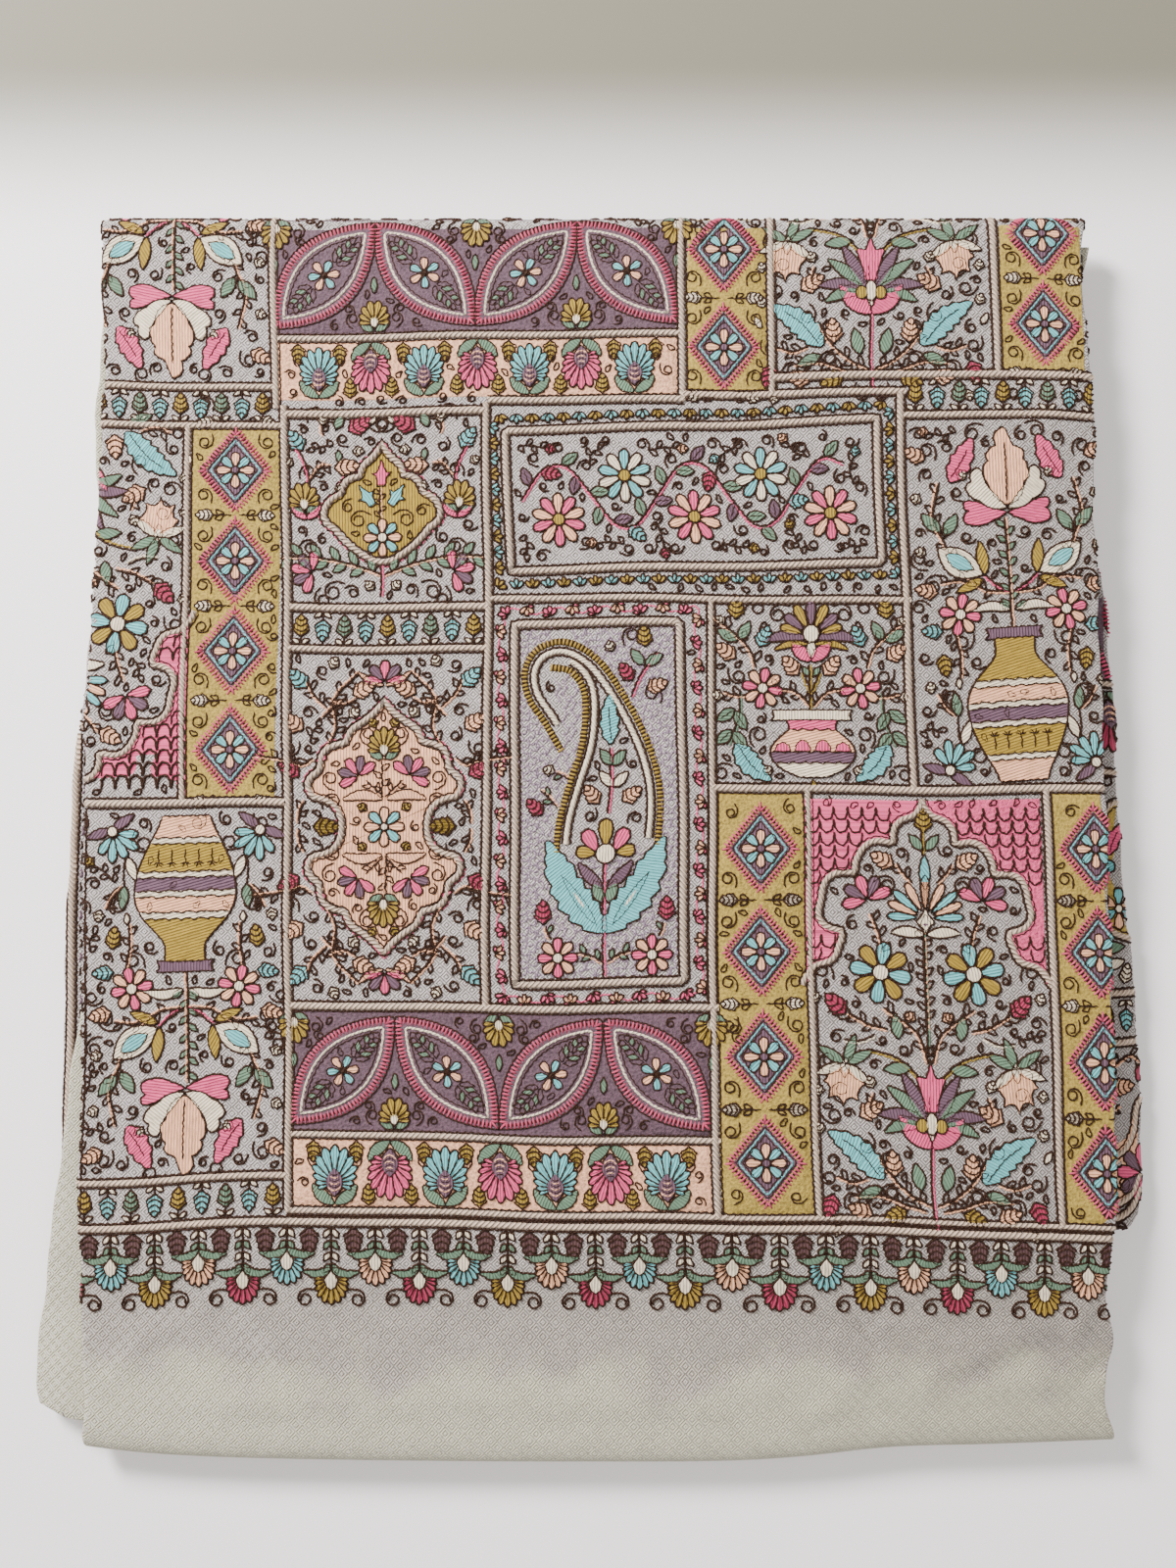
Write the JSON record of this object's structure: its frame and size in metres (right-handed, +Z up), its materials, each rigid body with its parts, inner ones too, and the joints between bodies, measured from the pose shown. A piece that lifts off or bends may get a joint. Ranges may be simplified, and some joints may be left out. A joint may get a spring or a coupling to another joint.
{
  "type": "folded pashmina shawl",
  "caption": "Embroidered pashmina shawl, folded into a flat rectangular bundle, with its layers showing at the sides.",
  "frame": {"origin": "under the middle of the folded bundle, on the surface that it lies on", "axes": "+Z up, +Y from the rolled front edge to the back fold, +X to the right when seen from the front edge"},
  "size_m": [0.3385, 0.382, 0.0181],
  "materials": {
    "embroidered_cloth": "fine grey lavender pashmina under dense thread embroidery",
    "pale_cloth": "fine ivory pashmina in a small diamond weave"
  },
  "bodies": {
    "root": {"top_layer": "embroidered_cloth", "pale_under_layer": "pale_cloth", "embroidered_under_layer": "embroidered_cloth", "hidden_layers": "pale_cloth"}
  },
  "joints": []
}
